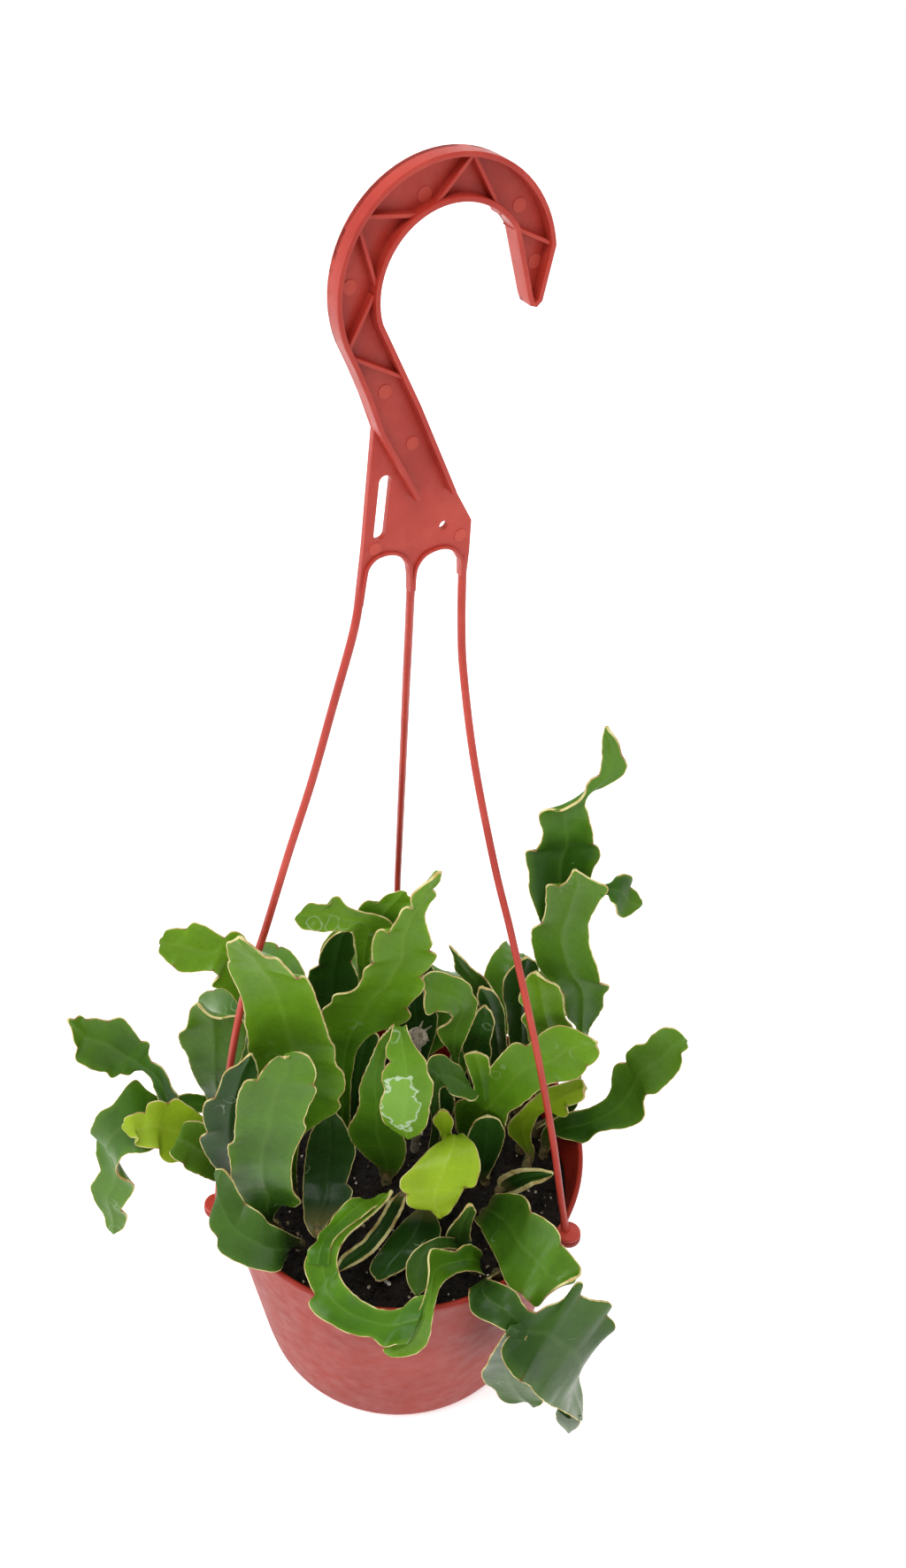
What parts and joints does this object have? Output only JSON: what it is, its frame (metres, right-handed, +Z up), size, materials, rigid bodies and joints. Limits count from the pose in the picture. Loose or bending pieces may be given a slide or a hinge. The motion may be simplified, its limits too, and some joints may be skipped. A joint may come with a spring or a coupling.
{
  "type": "potted epiphyllum guatemalense monstrose",
  "caption": "Curly flat-stemmed leaf cactus with scalloped stems in a round tapered plastic pot of soil, with a clip-on plastic hanger whose thin arms join in an open hook.",
  "frame": {"origin": "centre of the flat underside of the pot, on the surface it stands on", "axes": "+Z up along the pot axis to the hook, -Y to the side seen in the picture, +X to its right"},
  "size_m": [0.2412, 0.1963, 0.515],
  "materials": {
    "pot_plastic": "satin, terracotta red",
    "soil": "loose damp peat soil, matt",
    "hanger_plastic": "satin gloss, brick red",
    "dry_stem": "dried plant fibre, matt",
    "stem_bright": "living flat stem, waxy gloss",
    "stem_mid": "living flat stem, waxy gloss",
    "stem_dark": "living flat stem, waxy gloss"
  },
  "bodies": {
    "root": {"pot": "pot_plastic", "soil": "soil", "hanger": "hanger_plastic", "dry_stub": "dry_stem", "stem_front_arc": "stem_bright", "stem_brown_edge": "stem_mid", "stem_front_bright": "stem_bright", "stem_dry_edge": "stem_mid", "stem_right_front": "stem_mid", "stem_right_low": "stem_mid", "stem_front_left": "stem_mid", "stem_behind_front_left": "stem_dark", "stem_over_rim_left": "stem_mid", "stem_dark_centre_left": "stem_dark", "stem_big_left": "stem_bright", "stem_grey_left": "stem_mid", "stem_upper_left": "stem_bright", "stem_far_left": "stem_mid", "stem_yellow_left": "stem_bright", "stem_square_left": "stem_dark", "stem_tall_centre": "stem_bright", "stem_dark_behind_centre": "stem_dark", "stem_dark_upper": "stem_dark", "stem_curled_top": "stem_bright", "stem_folded_centre": "stem_mid", "stem_centre_ribbon": "stem_mid", "stem_grey_tip": "stem_mid", "stem_inner_dark": "stem_dark", "stem_outer_dark": "stem_dark", "stem_back_dark": "stem_dark", "stem_small_fold": "stem_mid", "stem_big_right": "stem_bright", "stem_under_right": "stem_bright", "stem_bright_right": "stem_bright", "stem_tall_right": "stem_mid", "stem_far_right": "stem_dark", "stem_half_moon": "stem_mid", "stem_floor_dark": "stem_dark", "stem_under_bright": "stem_dark", "stem_centre_dark": "stem_dark", "stem_back_far_left": "stem_mid", "stem_back_left": "stem_mid", "stem_back_low_left": "stem_mid", "stem_back_mid_left": "stem_mid", "stem_back_upright": "stem_mid", "stem_back_mid": "stem_mid", "stem_back_right": "stem_mid", "stem_back_far_right": "stem_mid"}
  },
  "joints": []
}
